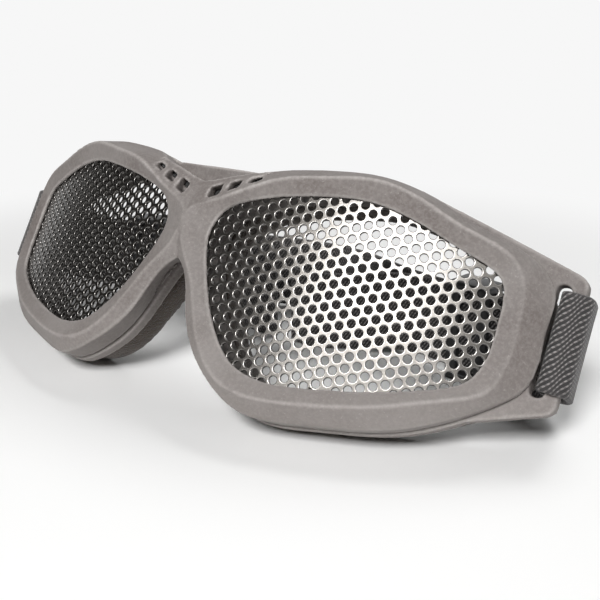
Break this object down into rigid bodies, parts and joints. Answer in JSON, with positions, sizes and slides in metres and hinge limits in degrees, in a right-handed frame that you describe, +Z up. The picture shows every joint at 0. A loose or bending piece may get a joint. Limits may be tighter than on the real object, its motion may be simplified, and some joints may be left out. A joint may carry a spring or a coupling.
{
  "type": "mesh goggles",
  "caption": "Twin-lens goggles with curved perforated steel lenses in a moulded rubber frame, with brow vents, face foam and an elastic head strap on sliders, laid leaning back on a table.",
  "frame": {"origin": "on the table plane, below the middle of the goggles' overall box", "axes": "+Z up from the table the goggles rest on, +X towards the wearer's left, -Y the way the lenses face"},
  "size_m": [0.1822, 0.0862, 0.058],
  "materials": {
    "frame_rubber": "matte, dusty charcoal",
    "lens_steel": "smooth dark coating with bright highlights",
    "seal_rubber": "matte black",
    "vent_foam": "open black foam",
    "face_foam": "soft dark foam",
    "strap_webbing": "black twill elastic",
    "slider_plastic": "fine grained black",
    "stitch_thread": "black thread"
  },
  "bodies": {
    "goggles": {"front_frame": "frame_rubber", "rear_frame": "frame_rubber", "lens_left": "lens_steel", "lens_right": "lens_steel", "lens_seal_left": "seal_rubber", "lens_seal_right": "seal_rubber", "vent_filter_left": "vent_foam", "vent_filter_right": "vent_foam", "face_foam": "face_foam", "strap": "strap_webbing", "tail_stitch_left": "stitch_thread", "tail_stitch_right": "stitch_thread"},
    "left_slider": {"slider_left": "slider_plastic"},
    "right_slider": {"slider_right": "slider_plastic"}
  },
  "joints": [
    {"name": "slider_left_slide", "type": "slide", "parent": "goggles", "child": "left_slider", "axis": [-0.9781, 0.2079, 0], "range_m": [-0.007, 0.007]},
    {"name": "slider_right_slide", "type": "slide", "parent": "goggles", "child": "right_slider", "axis": [0.9781, 0.2079, 0], "range_m": [-0.007, 0.007]}
  ]
}
